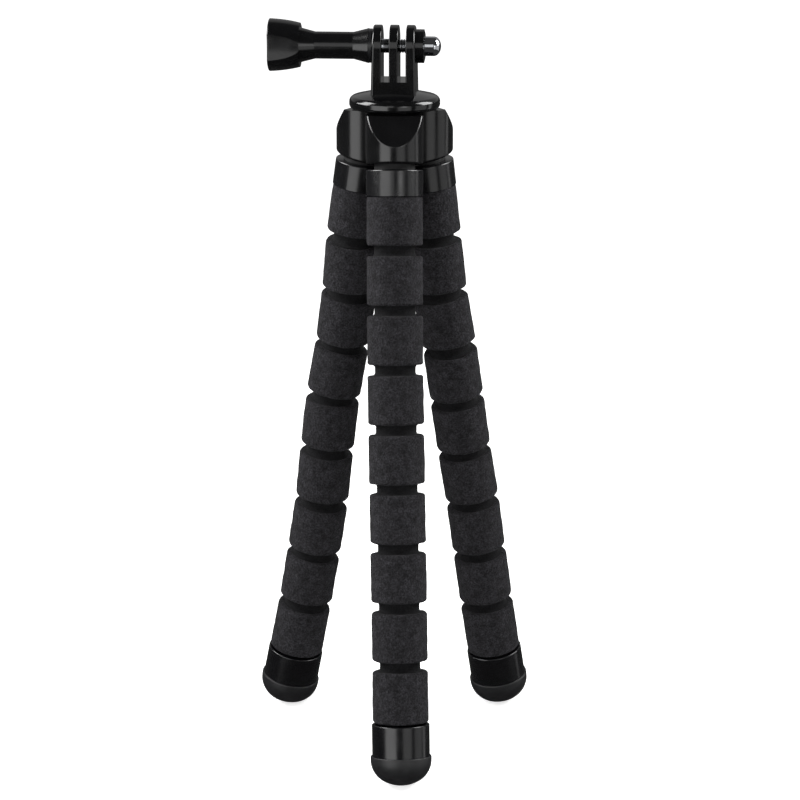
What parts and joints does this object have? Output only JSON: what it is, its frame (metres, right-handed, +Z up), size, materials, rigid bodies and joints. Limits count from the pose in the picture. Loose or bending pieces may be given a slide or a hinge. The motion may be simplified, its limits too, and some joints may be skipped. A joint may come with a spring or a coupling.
{
  "type": "flexible leg tripod",
  "caption": "Small tripod with bendable foam-covered legs, a lobed hub and a three-finger camera mount clamped by a long thumb screw.",
  "frame": {"origin": "on the floor, under the axis of the hub and its stud", "axes": "+Z up along the hub's axis, -Y towards the front leg, X across the clevis, with the thumb screw's knob on the -X side"},
  "size_m": [0.1025, 0.1103, 0.2686],
  "materials": {
    "hub_plastic": "polished black moulded plastic",
    "mount_plastic": "polished black moulded plastic",
    "handle_plastic": "satin black moulded plastic",
    "washer_plastic": "satin black plastic",
    "screw_steel": "zinc-plated steel",
    "insert_brass": "turned brass",
    "nut_chrome": "nickel-plated steel",
    "pad_rubber": "black rubber",
    "ball_plastic": "smooth black acetal",
    "collar_plastic": "fine satin black plastic",
    "ferrule_plastic": "fine satin black plastic",
    "foam": "dark grey closed-cell foam",
    "foot_rubber": "matte black rubber"
  },
  "bodies": {
    "hub": {"hub": "hub_plastic", "hub_stud": "screw_steel", "mount_pad": "pad_rubber"},
    "mount": {"camera_mount": "mount_plastic", "mount_insert": "insert_brass", "cap_nut": "nut_chrome"},
    "washer": {"bolt_washer": "washer_plastic"},
    "thumb_screw": {"thumb_screw_handle": "handle_plastic", "clevis_bolt": "screw_steel"},
    "front_link_1": {"front_root_ball": "ball_plastic", "front_collar": "collar_plastic", "front_segment_1": "foam"},
    "front_link_2": {"front_segment_2": "foam"},
    "front_link_3": {"front_segment_3": "foam"},
    "front_link_4": {"front_segment_4": "foam"},
    "front_link_5": {"front_segment_5": "foam"},
    "front_link_6": {"front_segment_6": "foam"},
    "front_link_7": {"front_segment_7": "foam"},
    "front_link_8": {"front_segment_8": "foam"},
    "front_link_9": {"front_segment_9": "foam", "front_ferrule": "ferrule_plastic", "front_foot": "foot_rubber"},
    "left_link_1": {"left_root_ball": "ball_plastic", "left_collar": "collar_plastic", "left_segment_1": "foam"},
    "left_link_2": {"left_segment_2": "foam"},
    "left_link_3": {"left_segment_3": "foam"},
    "left_link_4": {"left_segment_4": "foam"},
    "left_link_5": {"left_segment_5": "foam"},
    "left_link_6": {"left_segment_6": "foam"},
    "left_link_7": {"left_segment_7": "foam"},
    "left_link_8": {"left_segment_8": "foam"},
    "left_link_9": {"left_segment_9": "foam", "left_ferrule": "ferrule_plastic", "left_foot": "foot_rubber"},
    "right_link_1": {"right_root_ball": "ball_plastic", "right_collar": "collar_plastic", "right_segment_1": "foam"},
    "right_link_2": {"right_segment_2": "foam"},
    "right_link_3": {"right_segment_3": "foam"},
    "right_link_4": {"right_segment_4": "foam"},
    "right_link_5": {"right_segment_5": "foam"},
    "right_link_6": {"right_segment_6": "foam"},
    "right_link_7": {"right_segment_7": "foam"},
    "right_link_8": {"right_segment_8": "foam"},
    "right_link_9": {"right_segment_9": "foam", "right_ferrule": "ferrule_plastic", "right_foot": "foot_rubber"}
  },
  "joints": [
    {"name": "mount_swivel", "type": "hinge", "parent": "hub", "child": "mount", "pos_m": [0, 0, 0.23692], "axis": [0, 0, 1], "continuous": true},
    {"name": "screw_pull_out", "type": "slide", "parent": "mount", "child": "washer", "axis": [-0.9969, 0.0785, 0], "range_m": [0, 0.024]},
    {"name": "screw_turn", "type": "hinge", "parent": "washer", "child": "thumb_screw", "pos_m": [-0.00917, 0.00072, 0.25922], "axis": [0.9969, -0.0785, 0], "continuous": true},
    {"name": "front_neck_0_spread", "type": "hinge", "parent": "hub", "child": "front_link_1", "pos_m": [0, -0.0127, 0.21764], "axis": [-1, 0, 0], "range_deg": [-7.6, 11.4]},
    {"name": "front_neck_1_sway", "type": "hinge", "parent": "front_link_1", "child": "front_link_2", "pos_m": [0, -0.01841, 0.18854], "axis": [0, 0.9813, -0.1925], "range_deg": [-19.7, 20.3]},
    {"name": "front_neck_2_spread", "type": "hinge", "parent": "front_link_2", "child": "front_link_3", "pos_m": [0.00011, -0.0225, 0.16769], "axis": [-1, -0.001, -0.0051], "range_deg": [-20.2, 19.8]},
    {"name": "front_neck_3_sway", "type": "hinge", "parent": "front_link_3", "child": "front_link_4", "pos_m": [0.00022, -0.02667, 0.14685], "axis": [0, 0.9806, -0.1959], "range_deg": [-19.4, 20.6]},
    {"name": "front_neck_4_spread", "type": "hinge", "parent": "front_link_4", "child": "front_link_5", "pos_m": [0.00056, -0.03083, 0.12602], "axis": [-0.9999, -0.0031, -0.0154], "range_deg": [-19.5, 20.5]},
    {"name": "front_neck_5_sway", "type": "hinge", "parent": "front_link_5", "child": "front_link_6", "pos_m": [0.00089, -0.03481, 0.10515], "axis": [-0.0001, 0.9823, -0.1874], "range_deg": [-19.9, 20.1]},
    {"name": "front_neck_6_spread", "type": "hinge", "parent": "front_link_6", "child": "front_link_7", "pos_m": [0.00126, -0.03879, 0.08428], "axis": [-0.9998, -0.0034, -0.0171], "range_deg": [-20.4, 19.6]},
    {"name": "front_neck_7_sway", "type": "hinge", "parent": "front_link_7", "child": "front_link_8", "pos_m": [0.00163, -0.04292, 0.06344], "axis": [0, 0.981, -0.1942], "range_deg": [-20.3, 19.7]},
    {"name": "front_neck_8_spread", "type": "hinge", "parent": "front_link_8", "child": "front_link_9", "pos_m": [0.00189, -0.04705, 0.04259], "axis": [-0.9999, -0.0024, -0.012], "range_deg": [-20.8, 19.2]},
    {"name": "left_neck_0_spread", "type": "hinge", "parent": "hub", "child": "left_link_1", "pos_m": [-0.011, 0.00635, 0.21764], "axis": [0.5, 0.866, 0], "range_deg": [-5.53, 13.47]},
    {"name": "left_neck_1_sway", "type": "hinge", "parent": "left_link_1", "child": "left_link_2", "pos_m": [-0.01503, 0.00868, 0.18836], "axis": [0.8553, -0.4938, -0.157], "range_deg": [-26.3, 13.7]},
    {"name": "left_neck_2_spread", "type": "hinge", "parent": "left_link_2", "child": "left_link_3", "pos_m": [-0.01674, 0.01235, 0.1675], "axis": [0.5119, 0.8522, 0.1084], "range_deg": [-23.2, 16.8]},
    {"name": "left_neck_3_sway", "type": "hinge", "parent": "left_link_3", "child": "left_link_4", "pos_m": [-0.01945, 0.01661, 0.14686], "axis": [0.8495, -0.4834, -0.2115], "range_deg": [-15.1, 24.9]},
    {"name": "left_neck_4_spread", "type": "hinge", "parent": "left_link_4", "child": "left_link_5", "pos_m": [-0.02309, 0.01931, 0.12609], "axis": [0.4991, 0.8662, 0.025], "range_deg": [-16.1, 23.9]},
    {"name": "left_neck_5_sway", "type": "hinge", "parent": "left_link_5", "child": "left_link_6", "pos_m": [-0.02549, 0.0213, 0.10507], "axis": [0.8591, -0.4909, -0.1446], "range_deg": [-21.3, 18.7]},
    {"name": "left_neck_6_spread", "type": "hinge", "parent": "left_link_6", "child": "left_link_7", "pos_m": [-0.02765, 0.0237, 0.08407], "axis": [0.5015, 0.8638, 0.0474], "range_deg": [-23.3, 16.7]},
    {"name": "left_neck_7_sway", "type": "hinge", "parent": "left_link_7", "child": "left_link_8", "pos_m": [-0.03085, 0.02671, 0.06328], "axis": [0.8519, -0.4835, -0.2012], "range_deg": [-18.6, 21.4]},
    {"name": "left_neck_8_spread", "type": "hinge", "parent": "left_link_8", "child": "left_link_9", "pos_m": [-0.03432, 0.02926, 0.04247], "axis": [0.4977, 0.867, 0.0235], "range_deg": [-21.4, 18.6]},
    {"name": "right_neck_0_spread", "type": "hinge", "parent": "hub", "child": "right_link_1", "pos_m": [0.011, 0.00635, 0.21764], "axis": [0.5, -0.866, 0], "range_deg": [-3.93, 15.07]},
    {"name": "right_neck_1_sway", "type": "hinge", "parent": "right_link_1", "child": "right_link_2", "pos_m": [0.01432, 0.00827, 0.18824], "axis": [-0.8587, -0.4958, -0.1294], "range_deg": [-19.2, 20.8]},
    {"name": "right_neck_2_spread", "type": "hinge", "parent": "right_link_2", "child": "right_link_3", "pos_m": [0.01655, 0.0099, 0.16717], "axis": [0.5015, -0.865, -0.0138], "range_deg": [-24.6, 15.4]},
    {"name": "right_neck_3_sway", "type": "hinge", "parent": "right_link_3", "child": "right_link_4", "pos_m": [0.02024, 0.01237, 0.14639], "axis": [-0.8476, -0.488, -0.2085], "range_deg": [-15.3, 24.7]},
    {"name": "right_neck_4_spread", "type": "hinge", "parent": "right_link_4", "child": "right_link_5", "pos_m": [0.02304, 0.01634, 0.1257], "axis": [0.5141, -0.8526, -0.0939], "range_deg": [-20.3, 19.7]},
    {"name": "right_neck_5_sway", "type": "hinge", "parent": "right_link_5", "child": "right_link_6", "pos_m": [0.02594, 0.02036, 0.10504], "axis": [-0.8469, -0.4871, -0.2135], "range_deg": [-22.4, 17.6]},
    {"name": "right_neck_6_spread", "type": "hinge", "parent": "right_link_6", "child": "right_link_7", "pos_m": [0.02929, 0.02362, 0.08431], "axis": [0.5079, -0.8598, -0.0531], "range_deg": [-18.3, 21.7]},
    {"name": "right_neck_7_sway", "type": "hinge", "parent": "right_link_7", "child": "right_link_8", "pos_m": [0.03211, 0.02658, 0.06345], "axis": [-0.8512, -0.4914, -0.1845], "range_deg": [-20.2, 19.8]},
    {"name": "right_neck_8_spread", "type": "hinge", "parent": "right_link_8", "child": "right_link_9", "pos_m": [0.03496, 0.02946, 0.0426], "axis": [0.5074, -0.8603, -0.0497], "range_deg": [-21, 19]}
  ]
}
